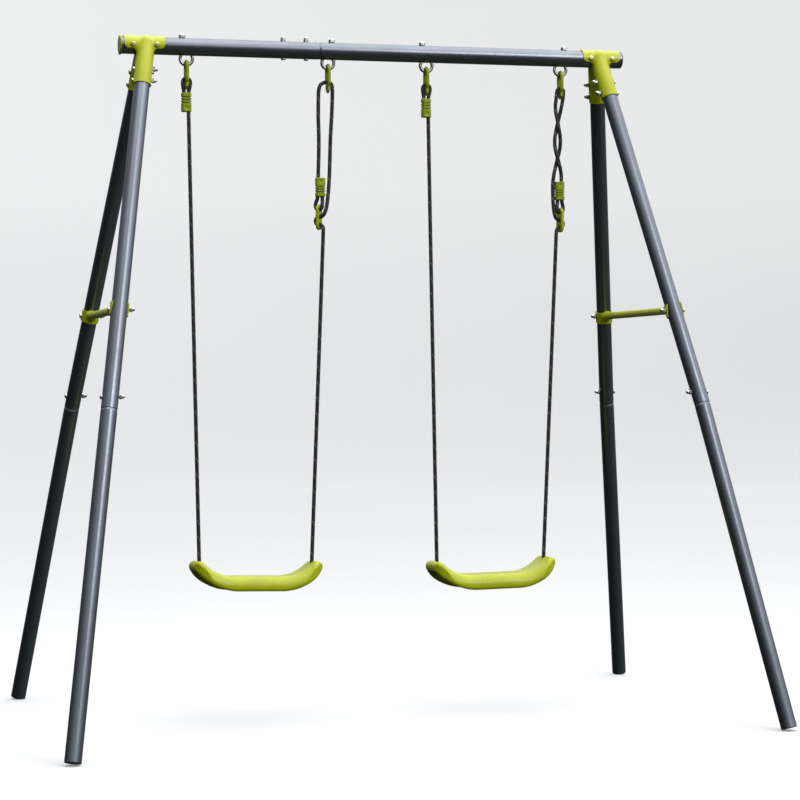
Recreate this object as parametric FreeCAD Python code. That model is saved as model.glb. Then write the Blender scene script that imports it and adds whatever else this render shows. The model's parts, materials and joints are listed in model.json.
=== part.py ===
import FreeCAD, Part

import math
import os

# A double swing set. Millimetres, +Z up, X along the beam, +Y to the back.
# The origin lies on the ground under the middle of the beam.

V = FreeCAD.Vector
UP = V(0, 0, 1)
RIGHT = V(1, 0, 0)
BACK = V(0, 1, 0)

GAP = 0.3  # clearance between two pieces that are only slipped together
EPS = 0.05  # clearance between a nut and its thread
PUSH_FIT = 0.1  # clearance of a cap or plug pushed into a tube

# The beam: a round tube in two pieces, the right one swaged into the left one.
BEAM_HEIGHT = 1940.0
BEAM_HALF = 755.0
BEAM_RADIUS = 25.0
BEAM_WALL = 2.0
BEAM_SEAM = -178.0
BEAM_OVERLAP = 124.0

# The legs: an upper tube and a lower tube whose swaged end goes up into it.
# A splay is how far the tube moves outwards in X and Y for each millimetre down.
LEG_RADIUS = 22.5
LEG_WALL = 1.5
LEG_HEAD = V(692, 28, 1890)
SEAM_HEIGHT = 906.0
UPPER_SPLAY = (0.1626, 0.3740)
LOWER_SPLAY = (0.1545, 0.3065)
NECK_LENGTH = 70.0
SHOULDER = 6.0
PLUG_LENGTH = 22.0

# The corner brackets: a saddle over the beam and a socket for each of two legs.
BRACKET_X = 689.0
SADDLE_LENGTH = 116.0
BRACKET_WALL = 2.5
SADDLE_SKIRT = 11.0
SADDLE_CORNER = 14.0
SOCKET_RISE = 3.0
SOCKET_BOTTOM = 1820.0
BLEND_RADIUS = 12.0
SADDLE_BOLT_SPACING = 68.0
LEG_BOLT_HEIGHTS = (1868.0, 1834.0)

# The side braces between the front and the back leg of each side.
BRACE_HEIGHT = 1177.0
BRACE_RADIUS = 11.0
BRACE_WALL = 1.5
EAR_WALL = 3.5
EAR_HEIGHT = 34.0
EAR_REACH = 14.0
FLARE_LENGTH = 23.0

# Fasteners: button-head bolts with cap nuts.
BOLT_RADIUS = 4.0
HOLE_RADIUS = 4.4
HEAD_RADIUS = 7.0
HEAD_HEIGHT = 4.5
NUT_FLATS = 13.0
NUT_HEIGHT = 6.5
CAP_RISE = 3.0
DOME_RADIUS = 5.8

# The eye bolts: a wire bent to an open ring, with both legs up through the beam.
EYE_X = (149.0, 566.0)
EYE_RADIUS = 18.0
WIRE_RADIUS = 4.7
EYE_DROP = 34.0
EYE_LEG_OFFSET = 12.0
EYE_BEND = 6.0
EYE_HOLE_RADIUS = 7.5
EYE_HOLE_SHIFT = 2.2
EYE_NUT_FLATS = 17.0
EYE_DOME_RADIUS = 7.6

# The hangers, ferrules and adjusters that the ropes are made up with.
ROPE_RADIUS = 5.75
STRAND_OFFSET = 6.0
HANGER_BAR = 5.2
HANGER_HALF_WIDTH = 14.7
HANGER_TOP = 1898.4
HANGER_BOTTOM = 1837.5
HANGER_KEEL = 1818.0
KEEL_HALF_TOP = 4.6
KEEL_HALF_EDGE = 1.6
KEEL_CORNER = 8.0
FERRULE = (29.5, 20.0, 55.0)
FERRULE_EDGE = 2.5
FERRULE_GROOVES = (13.0, 20.8, 28.6)
GROOVE_DEPTH = 3.2
GROOVE_WIDTH = 3.4
DIMPLE_RADIUS = 16.0
UPPER_FERRULE_BOTTOM = 1753.5
LOWER_FERRULE_BOTTOM = 1516.0
ADJUSTER_HEIGHT = 1456.0
ADJUSTER_SIZE = (9.0, 29.0, 74.0)
ADJUSTER_PITCH = 22.0
ADJUSTER_HOLE = 6.25
MOUTH_RADIUS = 3.2
ADJUSTER_X = {1: -179.0, 2: 562.5}
ADJUSTER_TURN = {1: -40.0, 2: 18.0}

# The seats: a moulded shell, level in the middle, with both ends curling up.
SEAT_HALF_WIDTH = 195.0
SEAT_DEPTH = 160.0
SEAT_HEIGHT = 46.0
SEAT_LEVEL_TOP = 74.0
SEAT_LEVEL_BOTTOM = 64.0
SEAT_TOP_RADIUS = 120.0
SEAT_BOTTOM_RADIUS = 149.0
SEAT_END_RADIUS = 16.0
SEAT_PLAN_CORNER = 66.0
SEAT_EDGE_RADIUS = 12.0
SEAT_SHOULDER_RADIUS = 30.0
SEAT_SKIN = 4.0
SEAT_RIB = 3.0
SEAT_RIB_PITCH = 50.0
SEAT_RIB_LIFT = 10.0
SEAT_HOLE_HALF_SPACING = 166.0
SEAT_PLACES = {1: V(-376, 0, 370.5), 2: V(338.5, 0, 358.5)}
SEAT_ROLLS = {1: 1.5, 2: -1.0}  # degrees about Y, as unequal ropes leave them
SEAT_PITCHES = {1: -3.0, 2: -1.5}  # degrees about the line between the rope holes
BOSS_RADIUS = 13.0
BOSS_DEPTH = 14.0
PIVOT_DEPTH = 7.0
KNOT_PITCH = 8.0
HOLE_PLAY = 0.9
FLARE_SLOPE = 0.5

# The ropes' routes, from the seat upwards, as hand-chosen points in X and Z, with a
# Y where a rope goes through its adjuster or its two strands pass each other.
ROUTE_1_LEFT = [
    (-539.8, 457.7), (-561.0, 1744.0), (-561.0, 1811.0), (-555.0, 1830.0),
    (-555.0, 1843.4), (-561.6, 1849.6), (-570.4, 1849.6), (-577.0, 1843.4),
    (-577.0, 1830.0), (-573.0, 1811.0), (-573.2, 1764.0),
]
ROUTE_1_RIGHT = [
    (-208.0, 449.0), (-168.3, 1410.0, -9.0), (-168.0, 1425.0, -9.3),
    (-173.3, 1434.0, -4.8), (-182.5, 1434.1, 3.0), (-187.4, 1440.4, 7.1),
    (-187.4, 1449.6, 7.1), (-182.5, 1456.0, 3.0), (-173.6, 1456.4, -4.5),
    (-165.4, 1463.5, -10.8), (-158.5, 1484.0, -12.0), (-152.5, 1520.0, -7.0),
    (-147.5, 1568.0, -2.0), (-144.8, 1627.0), (-143.0, 1685.0), (-139.0, 1743.0),
    (-136.2, 1800.0), (-135.5, 1841.1), (-144.0, 1849.6), (-162.9, 1849.7),
    (-177.0, 1835.5), (-178.2, 1795.0), (-178.8, 1743.0), (-177.2, 1685.0),
    (-178.4, 1626.0), (-180.5, 1572.0), (-180.6, 1514.0), (-187.6, 1497.0, 5.0),
    (-187.4, 1484.6, 7.1), (-182.5, 1478.0, 3.0), (-175.5, 1478.0, -3.0),
    (-170.6, 1484.6, -7.1), (-169.0, 1500.0, -3.5), (-168.5, 1516.0), (-168.4, 1560.0),
]
ROUTE_2_LEFT = [
    (171.1, 438.5), (154.0, 1744.0), (154.0, 1811.0), (160.0, 1830.0),
    (160.0, 1843.4), (153.4, 1849.6), (144.6, 1849.6), (138.0, 1843.4),
    (138.0, 1830.0), (142.0, 1811.0), (141.8, 1764.0),
]
ROUTE_2_RIGHT = [
    (503.1, 444.3), (548.7, 1410.0, -4.5), (548.7, 1425.0, -4.5), (555.4, 1434.0, -2.3),
    (566.9, 1434.1, 1.4), (573.0, 1440.4, 3.4), (573.0, 1449.6, 3.4),
    (566.9, 1456.0, 1.4), (555.4, 1456.4, -2.3), (545.5, 1463.5, -5.5),
    (540.4, 1484.0, -7.0), (539.0, 1515.0, -4.0), (540.0, 1568.0), (544.8, 1597.0),
    (556.0, 1632.0, 8.0), (567.8, 1684.0), (557.0, 1738.0, -8.0), (548.5, 1790.0),
    (553.8, 1825.0), (555.0, 1843.4), (561.6, 1849.6), (570.4, 1849.6),
    (577.0, 1843.4), (574.5, 1822.0), (568.5, 1790.0), (557.0, 1738.0, 8.0),
    (544.4, 1684.0), (556.0, 1632.0, -8.0), (567.4, 1597.0), (567.4, 1568.0),
    (567.3, 1514.0), (573.2, 1497.0, 2.5), (573.0, 1484.6, 3.4), (566.9, 1478.0, 1.4),
    (558.1, 1478.0, -1.4), (552.0, 1484.6, -3.4), (552.8, 1500.0, -1.5),
    (555.5, 1516.0), (555.4, 1560.0),
]


def rod(start, end, radius):
    return Part.makeCylinder(radius, (end - start).Length, start, end - start)


def tube(start, end, outer, inner):
    """A round tube, open at both ends."""
    past = (end - start).normalize()
    return rod(start, end, outer).cut(rod(start - past, end + past, inner))


def fused(shapes):
    return shapes[0].multiFuse(shapes[1:]).removeSplitter()


def ring_wire(centre, normal, radius):
    return Part.Wire(Part.Circle(centre, normal, radius).toShape())


def mirrored(point, side, depth):
    """A point of the back right corner moved to the corner on that side and depth."""
    return V(side * point.x, depth * point.y, point.z)


def drilled(shape, centre, direction, reach, radius=HOLE_RADIUS):
    """The shape with a hole along direction, reach to each side of the centre."""
    return shape.cut(rod(centre - direction * reach, centre + direction * reach, radius))


# Fasteners


def button_head(seat, outwards):
    """A low domed bolt head that sits at seat."""
    head = Part.makeCylinder(HEAD_RADIUS, HEAD_HEIGHT, seat, outwards)
    rim = [e for e in head.Edges if e.isClosed() and (e.CenterOfMass - seat).Length > 1]
    return head.makeFillet(HEAD_HEIGHT * 0.6, rim[:1])


def bolt(centre, outwards, head_at, end_at):
    """A bolt through centre: its head sits at head_at, its end at end_at, opposite."""
    shank = rod(centre - outwards * end_at, centre + outwards * (head_at + 1), BOLT_RADIUS)
    return fused([shank, button_head(centre + outwards * head_at, outwards)])


def hexagon(centre, direction, flats, height):
    radius = flats / math.sqrt(3)
    turn = FreeCAD.Rotation(UP, direction)
    corners = [V(radius * math.cos(a), radius * math.sin(a), 0)
               for a in [math.radians(60 * i) for i in range(7)]]
    face = Part.Face(Part.makePolygon([centre + turn.multVec(c) for c in corners]))
    return face.extrude(direction * height)


def domed_nut(seat, outwards):
    """A cap nut that sits at seat, with room inside for the bolt's end."""
    crown = seat + outwards * (NUT_HEIGHT + CAP_RISE)
    thread_end = seat + outwards * (NUT_HEIGHT + 1)
    body = hexagon(seat, outwards, NUT_FLATS, NUT_HEIGHT)
    cap = fused([body, rod(seat, crown, DOME_RADIUS), Part.makeSphere(DOME_RADIUS, crown)])
    return cap.cut(rod(seat - outwards, thread_end, BOLT_RADIUS + EPS))


def cross_fastener(centre, outwards, head_at, nut_at):
    """A bolt and its domed nut, clamping from head_at to nut_at."""
    bolt_end = nut_at + NUT_HEIGHT
    nut = domed_nut(centre - outwards * nut_at, outwards * -1)
    return bolt(centre, outwards, head_at, bolt_end), nut


# Beam


def beam_bolt_places():
    return [V(BEAM_SEAM - d, 0, BEAM_HEIGHT) for d in (36.0, 104.0)]


def saddle_bolt_places(side):
    return [V(side * (BRACKET_X + d), 0, BEAM_HEIGHT)
            for d in (-SADDLE_BOLT_SPACING / 2, SADDLE_BOLT_SPACING / 2)]


def eye_places():
    """Each eye's X, and the X of its threaded leg, on the side away from its swing."""
    inner, outer = EYE_X
    return {
        "1_left": (-outer, -outer - EYE_LEG_OFFSET),
        "1_right": (-inner, -inner + EYE_LEG_OFFSET),
        "2_left": (inner, inner - EYE_LEG_OFFSET),
        "2_right": (outer, outer + EYE_LEG_OFFSET),
    }


def drilled_beam(shape):
    """The holes of the beam: the joint's bolts, the saddles' bolts and the eyes' legs."""
    reach = BEAM_RADIUS + 5
    for place in beam_bolt_places():
        shape = drilled(shape, place, UP, reach)
    for side in (-1, 1):
        for place in saddle_bolt_places(side):
            shape = drilled(shape, place, BACK, reach)
    for eye, threaded in eye_places().values():
        shape = drilled(shape, V(threaded, 0, BEAM_HEIGHT), UP, reach, WIRE_RADIUS + GAP)
        for leg in (-1, 1):
            low = V(eye + leg * (EYE_LEG_OFFSET + EYE_HOLE_SHIFT), 0, BEAM_HEIGHT - BEAM_RADIUS)
            shape = drilled(shape, low, UP, BEAM_RADIUS / 2, EYE_HOLE_RADIUS)
    return shape


def beam_left_tube():
    start = V(-BEAM_HALF, 0, BEAM_HEIGHT)
    end = V(BEAM_SEAM, 0, BEAM_HEIGHT)
    return drilled_beam(tube(start, end, BEAM_RADIUS, BEAM_RADIUS - BEAM_WALL))


def beam_right_tube():
    """The right tube, necked down where it goes into the left one."""
    neck_radius = BEAM_RADIUS - BEAM_WALL - GAP
    neck_start = V(BEAM_SEAM - BEAM_OVERLAP, 0, BEAM_HEIGHT)
    shoulder = V(BEAM_SEAM + GAP, 0, BEAM_HEIGHT)
    full = shoulder + RIGHT * SHOULDER
    end = V(BEAM_HALF, 0, BEAM_HEIGHT)

    def outline(inset):
        neck = rod(neck_start - RIGHT * inset, shoulder, neck_radius - inset)
        cone = Part.makeCone(neck_radius - inset, BEAM_RADIUS - inset, SHOULDER, shoulder, RIGHT)
        return fused([neck, cone, rod(full, end + RIGHT * inset, BEAM_RADIUS - inset)])

    return drilled_beam(outline(0).cut(outline(BEAM_WALL)))


def beam_end_cap(side, flange_radius, flange_width):
    """A cap pushed into the beam's end, with a rounded flange outside."""
    face = V(side * BEAM_HALF, 0, BEAM_HEIGHT)
    out = RIGHT * side
    flange = Part.makeCylinder(flange_radius, flange_width, face + out * EPS, out)
    outer_rim = [e for e in flange.Edges
                 if e.isClosed() and (e.CenterOfMass - face).Length > flange_width / 2]
    flange = flange.makeFillet(flange_width * 0.6, outer_rim[:1])
    insert_radius = BEAM_RADIUS - BEAM_WALL - PUSH_FIT
    insert = tube(face - out * 20, face + out, insert_radius, insert_radius - 2.5)
    return fused([flange, insert])


# Legs


def leg_axis_point(height):
    """The point of the back right leg's axis at that height."""
    if height >= SEAM_HEIGHT:
        down = LEG_HEAD.z - height
        return V(LEG_HEAD.x + UPPER_SPLAY[0] * down, LEG_HEAD.y + UPPER_SPLAY[1] * down, height)
    seam = leg_axis_point(SEAM_HEIGHT)
    down = SEAM_HEIGHT - height
    return V(seam.x + LOWER_SPLAY[0] * down, seam.y + LOWER_SPLAY[1] * down, height)


def foot_height():
    """How high the middle of a square-cut foot is when its lowest edge is at the ground."""
    run = math.hypot(*LOWER_SPLAY)
    return LEG_RADIUS * run / math.hypot(1, run)


def leg_points(side, depth):
    """The head, the seam and the foot of one leg's axis."""
    heights = (LEG_HEAD.z, SEAM_HEIGHT, foot_height())
    return [mirrored(leg_axis_point(h), side, depth) for h in heights]


def leg_direction(side, depth):
    """Up along the upper tube."""
    head, seam, _ = leg_points(side, depth)
    return (head - seam).normalize()


def neck_radius_of(inset=0.0):
    return LEG_RADIUS - LEG_WALL - GAP - inset


def seam_bolt_place(side, depth):
    return mirrored(leg_axis_point(SEAM_HEIGHT + 34), side, depth)


def brace_bolt_place(side, depth):
    return mirrored(leg_axis_point(BRACE_HEIGHT), side, depth)


def leg_bolt_places(side, depth):
    return [mirrored(leg_axis_point(h), side, depth) for h in LEG_BOLT_HEIGHTS]


def upper_leg(side, depth):
    head, seam, _ = leg_points(side, depth)
    shape = tube(head, seam, LEG_RADIUS, LEG_RADIUS - LEG_WALL)
    places = leg_bolt_places(side, depth)
    places += [brace_bolt_place(side, depth), seam_bolt_place(side, depth)]
    for place in places:
        shape = drilled(shape, place, RIGHT, LEG_RADIUS + 5)
    return shape


def lower_leg_outline(side, depth, inset):
    """The lower tube's outside, or its inside with an inset of one wall."""
    head, seam, foot = leg_points(side, depth)
    up = (head - seam).normalize()
    down = (foot - seam).normalize()
    neck_top = seam + up * (NECK_LENGTH + inset)
    neck_bottom = seam - up * GAP
    full = seam + down * SHOULDER
    cone = Part.makeLoft([
        ring_wire(neck_bottom, up, neck_radius_of(inset)),
        ring_wire(full, down * -1, LEG_RADIUS - inset),
    ], True, True)
    neck = rod(neck_bottom, neck_top, neck_radius_of(inset))
    return fused([neck, cone, rod(full, foot + down * inset, LEG_RADIUS - inset)])


def lower_leg(side, depth):
    shape = lower_leg_outline(side, depth, 0).cut(lower_leg_outline(side, depth, LEG_WALL))
    return drilled(shape, seam_bolt_place(side, depth), RIGHT, LEG_RADIUS + 5)


def foot_plug(side, depth):
    """A plug pushed into the lower tube, flush with its end."""
    _, seam, foot = leg_points(side, depth)
    up = (seam - foot).normalize()
    radius = LEG_RADIUS - LEG_WALL - PUSH_FIT
    return rod(foot, foot + up * PLUG_LENGTH, radius).cut(
        rod(foot + up * 4, foot + up * (PLUG_LENGTH + 1), radius - 3))


# Corner brackets


def corner_bracket(side):
    """A saddle over the beam blended into two sockets that take the legs' heads."""
    middle = V(BRACKET_X, 0, BEAM_HEIGHT)
    half = RIGHT * (SADDLE_LENGTH / 2)
    saddle_radius = BEAM_RADIUS + GAP + BRACKET_WALL
    saddle = rod(middle - half, middle + half, saddle_radius).common(saddle_outline(middle))
    bracket = blended(fused([saddle, leg_socket(-1), leg_socket(1)]))
    for depth in (-1, 1):
        bracket = bracket.cut(leg_bore(depth))
        for place in leg_bolt_places(1, depth):
            bracket = drilled(bracket, place, RIGHT, LEG_RADIUS + 12)
    bracket = bracket.cut(rod(middle - half * 2, middle + half * 2, BEAM_RADIUS + GAP))
    for place in saddle_bolt_places(1):
        bracket = drilled(bracket, place, BACK, saddle_radius + 5)
    return bracket if side > 0 else bracket.mirror(V(0, 0, 0), RIGHT)


def saddle_outline(middle):
    """A block that leaves the beam's lower part bare beside the sockets, round at its ends."""
    wide = 4 * BEAM_RADIUS
    corner = middle - V(SADDLE_LENGTH / 2, wide / 2, SADDLE_SKIRT)
    block = Part.makeBox(SADDLE_LENGTH, wide, wide, corner)
    lower_ends = [e for e in block.Edges
                  if e.BoundBox.YLength > wide / 2 and e.CenterOfMass.z < BEAM_HEIGHT]
    return block.makeFillet(SADDLE_CORNER, lower_ends)


def leg_socket(depth):
    """A round column down the leg's axis, with a ball end where it meets the saddle."""
    radius = LEG_RADIUS + GAP + BRACKET_WALL
    head, seam, _ = leg_points(1, depth)
    down = (seam - head).normalize()
    top = mirrored(leg_axis_point(BEAM_HEIGHT + SOCKET_RISE), 1, depth)
    length = (mirrored(leg_axis_point(SOCKET_BOTTOM), 1, depth) - top).Length
    ball_side = V(radius, 0, 0)
    ball_top = V(0, 0, radius)
    low_middle = V(0, 0, -length)
    outline = Part.Wire([
        Part.LineSegment(ball_top, low_middle).toShape(),
        Part.LineSegment(low_middle, low_middle + ball_side).toShape(),
        Part.LineSegment(low_middle + ball_side, ball_side).toShape(),
        Part.Arc(ball_side, (ball_side + ball_top) * math.sqrt(0.5), ball_top).toShape(),
    ])
    column = Part.Face(outline).revolve(V(0, 0, 0), UP, 360)
    column.Placement = FreeCAD.Placement(top, FreeCAD.Rotation(UP * -1, down))
    return column


def leg_bore(depth):
    head, seam, _ = leg_points(1, depth)
    down = (seam - head).normalize()
    return rod(head - down, head + down * 2 * (LEG_HEAD.z - SOCKET_BOTTOM), LEG_RADIUS + GAP)


def blended(shape):
    """The hollow corners between the saddle and the sockets, rounded."""
    under = BEAM_HEIGHT - SADDLE_SKIRT
    corners_round_sockets = []
    for edge in shape.Edges:
        surfaces = [f.Surface.TypeId for f in shape.ancestorsOfType(edge, Part.Face)]
        crosses = surfaces == ["Part::GeomCylinder"] * 2
        sunk = crosses and abs(edge.CenterOfMass.x - BRACKET_X) < SADDLE_LENGTH / 3
        level = edge.Curve.TypeId == "Part::GeomEllipse" and abs(edge.CenterOfMass.z - under) < 0.01
        if sunk or level:
            corners_round_sockets.append(edge)
    return shape.makeFillet(BLEND_RADIUS, corners_round_sockets)


# Side braces


def side_brace(side):
    """A tube with a fork at each end that hugs a leg."""
    front = brace_bolt_place(side, -1)
    back = brace_bolt_place(side, 1)
    inner = BACK * LEG_RADIUS
    bar = tube(front + inner, back - inner, BRACE_RADIUS, BRACE_RADIUS - BRACE_WALL)
    brace = fused([bar, brace_fork(side, -1), brace_fork(side, 1)])
    for depth in (-1, 1):
        centre = brace_bolt_place(side, depth)
        reach = leg_direction(side, depth) * (2 * EAR_HEIGHT)
        brace = brace.cut(rod(centre - reach, centre + reach, LEG_RADIUS + GAP))
        brace = drilled(brace, centre, RIGHT, LEG_RADIUS + 10)
    return brace


def brace_fork(side, depth):
    """A wrap round the leg's inner half, flared out of the tube, with two ears for a bolt."""
    centre = brace_bolt_place(side, depth)
    half = leg_direction(side, depth) * (EAR_HEIGHT / 2)
    inwards = BACK * -depth
    outer = LEG_RADIUS + GAP + EAR_WALL
    wrap = rod(centre - half, centre + half, outer)
    throat = centre + inwards * LEG_RADIUS
    flare = Part.makeCone(EAR_HEIGHT / 2, BRACE_RADIUS, FLARE_LENGTH, throat, inwards)
    size = 4 * outer
    keep = Part.makeBox(size, size, size, centre - V(size / 2, size / 2, size / 2))
    keep.translate(inwards * (size / 2 - EAR_REACH / 2))
    return fused([wrap, flare]).common(keep)


# Eye bolts


def eye_bolt(name):
    """An open ring of wire whose ends bend up into the beam, one of them threaded."""
    eye, threaded = eye_places()[name]
    out = 1 if threaded > eye else -1
    centre = V(eye, 0, BEAM_HEIGHT - EYE_DROP)
    bend_x = EYE_LEG_OFFSET + EYE_BEND
    between = EYE_RADIUS + EYE_BEND
    bend_z = math.sqrt(between ** 2 - bend_x ** 2)
    touch = V(bend_x, 0, bend_z) * (EYE_RADIUS / between)
    turn = math.atan2(bend_z, bend_x) / 2
    bend_middle = V(bend_x - EYE_BEND * math.cos(turn), 0, bend_z - EYE_BEND * math.sin(turn))
    high_end = BEAM_RADIUS + EYE_DROP + NUT_HEIGHT
    low_end = EYE_DROP - BEAM_RADIUS / 2

    def at(point, way):
        return centre + V(way * point.x, 0, point.z)

    def leg(way, top):
        start = at(V(EYE_LEG_OFFSET, 0, top), way)
        end = at(V(EYE_LEG_OFFSET, 0, bend_z), way)
        return [Part.LineSegment(start, end).toShape(),
                Part.Arc(end, at(bend_middle, way), at(touch, way)).toShape()]

    ring = Part.Arc(at(touch, out), centre - UP * EYE_RADIUS, at(touch, -out)).toShape()
    path = Part.Wire(Part.__sortEdges__(leg(out, high_end) + [ring] + leg(-out, low_end)))
    section = ring_wire(at(V(EYE_LEG_OFFSET, 0, high_end), out), UP, WIRE_RADIUS)
    return path.makePipeShell([section], True, False)


def eye_nuts():
    """The cap nuts on the eye bolts' threaded legs, on top of the beam."""
    top = BEAM_HEIGHT + BEAM_RADIUS + EPS
    nuts = []
    for _, threaded in eye_places().values():
        seat = V(threaded, 0, top)
        thread_end = seat + UP * (NUT_HEIGHT + 1)
        body = hexagon(seat, UP, EYE_NUT_FLATS, NUT_HEIGHT + 1)
        dome = Part.makeSphere(EYE_DOME_RADIUS, seat + UP * (NUT_HEIGHT - 1))
        below = rod(seat - UP * EYE_DOME_RADIUS, seat, EYE_NUT_FLATS)
        bore = rod(seat - UP, thread_end, WIRE_RADIUS + EPS)
        nuts.append(fused([body, dome]).cut(below).cut(bore))
    return Part.makeCompound(nuts)


# Groups of like fasteners


def grouped(pairs):
    """All bolts as one group of solids and all nuts as another."""
    bolts, nuts = zip(*pairs)
    return Part.makeCompound(bolts), Part.makeCompound(nuts)


def beam_joint_fasteners():
    seat = BEAM_RADIUS + EPS
    return grouped([cross_fastener(p, UP * -1, seat, seat) for p in beam_bolt_places()])


def saddle_fasteners():
    seat = BEAM_RADIUS + GAP + BRACKET_WALL + EPS
    places = saddle_bolt_places(-1) + saddle_bolt_places(1)
    return grouped([cross_fastener(p, BACK * -1, seat, seat) for p in places])


def leg_seat(radius, splay):
    """How far from a leaning tube's axis a head or nut sits, clear of its slope."""
    return radius * math.hypot(1, splay) + HEAD_RADIUS * splay + EPS


def corners():
    return [(side, depth) for side in (-1, 1) for depth in (-1, 1)]


def bracket_leg_fasteners():
    seat = leg_seat(LEG_RADIUS + GAP + BRACKET_WALL, UPPER_SPLAY[0])
    return grouped([cross_fastener(p, RIGHT * side, seat, seat)
                    for side, depth in corners() for p in leg_bolt_places(side, depth)])


def leg_joint_fasteners():
    seat = leg_seat(LEG_RADIUS, UPPER_SPLAY[0])
    return grouped([cross_fastener(seam_bolt_place(side, depth), RIGHT * side, seat, seat)
                    for side, depth in corners()])


def brace_fasteners():
    seat = leg_seat(LEG_RADIUS + GAP + EAR_WALL, UPPER_SPLAY[0])
    return grouped([cross_fastener(brace_bolt_place(side, depth), RIGHT * side, seat, seat)
                    for side, depth in corners()])


# Swings


def hanger(eye):
    """A closed oval link in the YZ plane, with a keel below that keeps its rope apart."""
    half = HANGER_HALF_WIDTH
    top = V(eye, 0, HANGER_TOP - half)
    bottom = V(eye, 0, HANGER_BOTTOM + half)
    pieces = []
    for centre, way in ((top, 1), (bottom, -1)):
        section = Part.Face(ring_wire(centre + BACK * half, UP, HANGER_BAR))
        pieces.append(section.revolve(centre, RIGHT * way, 180))
    for depth in (-1, 1):
        offset = BACK * (depth * half)
        pieces.append(rod(bottom + offset, top + offset, HANGER_BAR))
    return fused(pieces + [keel(eye)])


def keel(eye):
    """A wedge under the link's lower bend, as wide as the link's opening."""
    low = V(eye, -HANGER_HALF_WIDTH, HANGER_KEEL)
    high = V(eye, -HANGER_HALF_WIDTH, HANGER_BOTTOM)
    corners = [high - RIGHT * KEEL_HALF_TOP, low - RIGHT * KEEL_HALF_EDGE,
               low + RIGHT * KEEL_HALF_EDGE, high + RIGHT * KEEL_HALF_TOP]
    wedge = Part.Face(Part.makePolygon(corners + corners[:1])).extrude(BACK * 2 * HANGER_HALF_WIDTH)
    lower_corners = [e for e in wedge.Edges
                     if abs(abs(e.CenterOfMass.y) - HANGER_HALF_WIDTH) < 0.01
                     and abs(e.CenterOfMass.z - HANGER_KEEL) < 0.01]
    return wedge.makeChamfer(KEEL_CORNER, lower_corners)


def slot_prism(middle, offset, radius, height):
    """Two overlapping bores, offset to each side of the middle in X, as one solid."""
    bores = [rod(middle + RIGHT * (way * offset), middle + V(way * offset, 0, height), radius)
             for way in (-1, 1)]
    web = Part.makeBox(2 * offset, 2 * radius, height, middle - V(offset, radius, 0))
    return fused(bores + [web])


def ferrule(middle_x, bottom, grooves_on_top):
    """A rounded clamp round two strands, with grooves near its looped end."""
    width, thick, height = FERRULE
    low = V(middle_x, 0, bottom)
    corner = thick / 2 - 1.5
    body = Part.makeBox(width, thick, height, low - V(width / 2, thick / 2, 0))
    body = body.makeFillet(corner, [e for e in body.Edges if is_upright(e)])
    body = body.makeFillet(FERRULE_EDGE, [e for e in body.Edges if is_level(e)])
    for distance in FERRULE_GROOVES:
        z = height - distance if grooves_on_top else distance
        body = body.cut(groove(low + UP * z, width, thick, corner))
    dimple = UP * (height * (0.2 if grooves_on_top else 0.8))
    for depth in (-1, 1):
        face = low + dimple + BACK * (depth * thick / 2)
        body = body.cut(Part.makeSphere(DIMPLE_RADIUS, face + BACK * (depth * (DIMPLE_RADIUS - 1.4))))
    return body.cut(slot_prism(low - UP, STRAND_OFFSET, ROPE_RADIUS + 0.1, height + 2))


def is_upright(edge):
    span = edge.BoundBox
    return span.ZLength > 1 and span.XLength < 0.01 and span.YLength < 0.01


def is_level(edge):
    return edge.BoundBox.ZLength < 0.01


def groove(middle, width, thick, corner):
    """A band round a ferrule, to be cut out of it."""
    def block(inset, high):
        box = Part.makeBox(width - 2 * inset, thick - 2 * inset, high,
                           middle - V(width / 2 - inset, thick / 2 - inset, high / 2))
        return box.makeFillet(corner - inset, [e for e in box.Edges if is_upright(e)])

    return block(-0.01, GROOVE_WIDTH).cut(block(GROOVE_DEPTH, GROOVE_WIDTH + 2))


def adjuster(swing):
    """A flat plate with three holes that the rope is threaded through."""
    thick, wide, tall = ADJUSTER_SIZE
    centre = V(ADJUSTER_X[swing], 0, ADJUSTER_HEIGHT)
    radius = wide / 2
    start = centre - V(thick / 2, 0, tall / 2 - radius)
    end = start + UP * (tall - 2 * radius)
    plate = fused([
        Part.makeCylinder(radius, thick, start, RIGHT),
        Part.makeCylinder(radius, thick, end, RIGHT),
        Part.makeBox(thick, wide, tall - wide, start - BACK * radius),
    ])
    for step in (-1, 0, 1):
        plate = drilled(plate, centre + UP * (step * ADJUSTER_PITCH), RIGHT, thick, ADJUSTER_HOLE)
    mouths = [e for e in plate.Edges
              if e.isClosed() and abs(e.BoundBox.ZLength - 2 * ADJUSTER_HOLE) < 0.1]
    plate = plate.makeFillet(MOUTH_RADIUS, mouths)
    plate = plate.makeFillet(2.5, [e for e in plate.Edges if on_outline(e, centre, radius, tall / 2)])
    plate.rotate(centre, UP, ADJUSTER_TURN[swing])
    return plate


def on_outline(edge, centre, half_wide, half_tall):
    """Whether an edge of the adjuster runs along its outline on one of its flat faces."""
    if edge.BoundBox.XLength > 0.01:
        return False
    point = edge.valueAt((edge.FirstParameter + edge.LastParameter) / 2)
    away = point - centre
    return abs(away.y) > half_wide - 0.1 or abs(away.z) > half_tall - 0.1


def arc(centre, start, end):
    """The shorter arc about centre from start to end."""
    radius = (start - centre).Length
    halfway = ((start - centre).normalize() + (end - centre).normalize()).normalize()
    return Part.Arc(start, centre + halfway * radius, end).toShape()


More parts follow.
